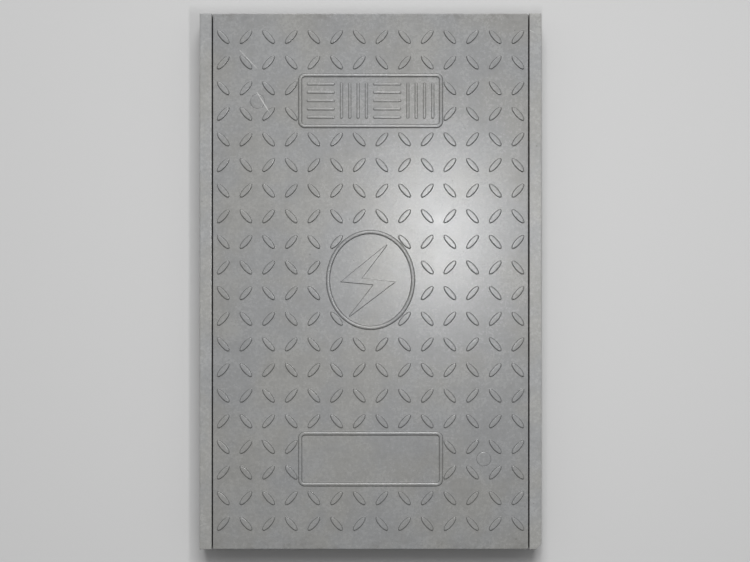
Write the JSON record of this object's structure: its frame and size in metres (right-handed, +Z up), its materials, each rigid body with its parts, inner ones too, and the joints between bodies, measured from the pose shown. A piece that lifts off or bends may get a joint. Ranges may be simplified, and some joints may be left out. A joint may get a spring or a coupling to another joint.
{
  "type": "manhole cover",
  "caption": "Rectangular composite manhole cover with a raised tread, seated flush between side rails; it lifts out of its frame, and flush plugs close its lifting sockets.",
  "frame": {"origin": "centre of the footprint, on the bedding plane under the rails", "axes": "+Z up out of the walking surface; +Y along the long edge, towards the panel filled with the woven pattern; +X across the cover, towards the right rail"},
  "size_m": [0.51, 0.8, 0.0695],
  "materials": {
    "deck_composite": "moulded, slightly worn",
    "rail_composite": "moulded",
    "sill_composite": "moulded",
    "plug_plastic": "moulded",
    "seat_rubber": "matt",
    "rebar_steel": "drawn, faint rust",
    "zinc_steel": "zinc plated"
  },
  "bodies": {
    "frame": {"rail_left": "rail_composite", "rail_right": "rail_composite", "end_sill_front": "sill_composite", "end_sill_back": "sill_composite", "tie_screws": "zinc_steel", "tie_inserts": "zinc_steel", "seat_gasket_left": "seat_rubber", "seat_gasket_right": "seat_rubber", "seat_pad_front": "seat_rubber", "seat_pad_back": "seat_rubber"},
    "cover": {"cover_deck": "deck_composite", "transverse_bar_1": "rebar_steel", "transverse_bar_2": "rebar_steel", "transverse_bar_3": "rebar_steel", "transverse_bar_4": "rebar_steel", "transverse_bar_5": "rebar_steel", "transverse_bar_6": "rebar_steel", "transverse_bar_7": "rebar_steel", "transverse_bar_8": "rebar_steel", "transverse_bar_9": "rebar_steel", "longitudinal_bar_1": "rebar_steel", "longitudinal_bar_2": "rebar_steel", "longitudinal_bar_3": "rebar_steel", "longitudinal_bar_4": "rebar_steel", "longitudinal_bar_5": "rebar_steel", "lift_socket_1": "zinc_steel", "lift_socket_2": "zinc_steel", "socket_pin_1": "zinc_steel", "socket_pin_2": "zinc_steel"},
    "plug_1": {"lift_plug_1": "plug_plastic"},
    "plug_2": {"lift_plug_2": "plug_plastic"}
  },
  "joints": [
    {"name": "cover_lift", "type": "slide", "parent": "frame", "child": "cover", "axis": [0, 0, 1], "range_m": [0, 0.15]},
    {"name": "plug_1_pull", "type": "slide", "parent": "cover", "child": "plug_1", "axis": [0, 0, 1], "range_m": [0, 0.04]},
    {"name": "plug_2_pull", "type": "slide", "parent": "cover", "child": "plug_2", "axis": [0, 0, 1], "range_m": [0, 0.04]}
  ]
}
